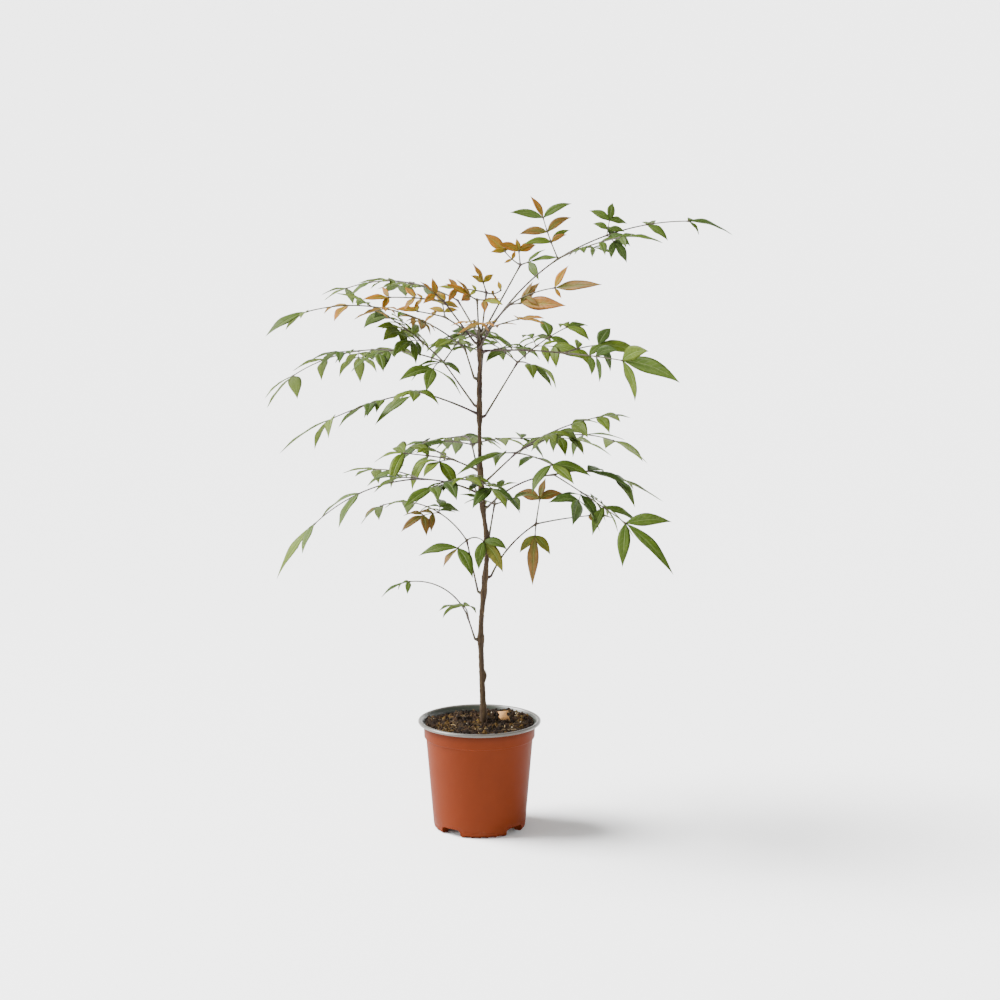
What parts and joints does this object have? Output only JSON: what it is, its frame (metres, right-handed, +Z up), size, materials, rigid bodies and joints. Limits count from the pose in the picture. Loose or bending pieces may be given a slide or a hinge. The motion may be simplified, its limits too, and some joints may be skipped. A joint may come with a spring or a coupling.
{
  "type": "potted heavenly bamboo plant",
  "caption": "Young heavenly bamboo with one cane stem and airy tiers of compound leaves, growing in a round two-tone plastic nursery pot filled with compost.",
  "frame": {"origin": "centre of the flat underside of the pot, on the surface that it stands on", "axes": "+Z up along the stem; +X to the right and +Y away as seen from the side that the longest top leaf points right from"},
  "size_m": [0.4981, 0.3171, 0.6668],
  "materials": {
    "pot": "satin terracotta-coloured plastic outside, grey rim and inside",
    "soil": "rough, crumbly potting compost",
    "stem": "thin brown bark with leaf scars",
    "stalk": "smooth, slightly glossy green to purple-brown leaf stalk",
    "foliage": "smooth green leaflets",
    "young_foliage": "smooth orange and bronze young leaflets"
  },
  "bodies": {
    "root": {"pot": "pot", "soil": "soil", "stem": "stem", "stalk_low_left": "stalk", "stalk_lower_left": "stalk", "stalk_lower_right": "stalk", "stalk_inner_right": "stalk", "stalk_mid_right": "stalk", "stalk_mid_front": "stalk", "stalk_mid_left": "stalk", "stalk_mid_back": "stalk", "stalk_mid_left_high": "stalk", "stalk_mid_right_high": "stalk", "stalk_upper_right": "stalk", "stalk_upper_left": "stalk", "stalk_upper_left_long": "stalk", "stalk_upper_back": "stalk", "stalk_crown_left_long": "stalk", "stalk_crown_right": "stalk", "stalk_top_front_young": "stalk", "stalk_top_left_young": "stalk", "stalk_top_back_young": "stalk", "stalk_top_right_long": "stalk", "stalk_top_middle_young": "stalk", "stalk_top_left_low_young": "stalk", "stalk_top_right_back": "stalk", "stalk_top_left_arch": "stalk", "stalk_top_right_young": "stalk", "foliage_low_left": "foliage", "foliage_lower_left": "foliage", "foliage_lower_right": "foliage", "foliage_inner_right": "foliage", "foliage_mid_right": "foliage", "foliage_mid_front": "foliage", "foliage_mid_left": "foliage", "foliage_mid_back": "foliage", "foliage_mid_left_high": "foliage", "foliage_mid_right_high": "foliage", "foliage_upper_right": "foliage", "foliage_upper_left": "foliage", "foliage_upper_left_long": "foliage", "foliage_upper_back": "foliage", "foliage_crown_left_long": "foliage", "foliage_crown_right": "foliage", "foliage_top_front_young": "young_foliage", "foliage_top_left_young": "young_foliage", "foliage_top_back_young": "young_foliage", "foliage_top_right_long": "foliage", "foliage_top_middle_young": "young_foliage", "foliage_top_left_low_young": "young_foliage", "foliage_top_right_back": "foliage", "foliage_top_left_arch": "foliage", "foliage_top_right_young": "young_foliage"}
  },
  "joints": []
}
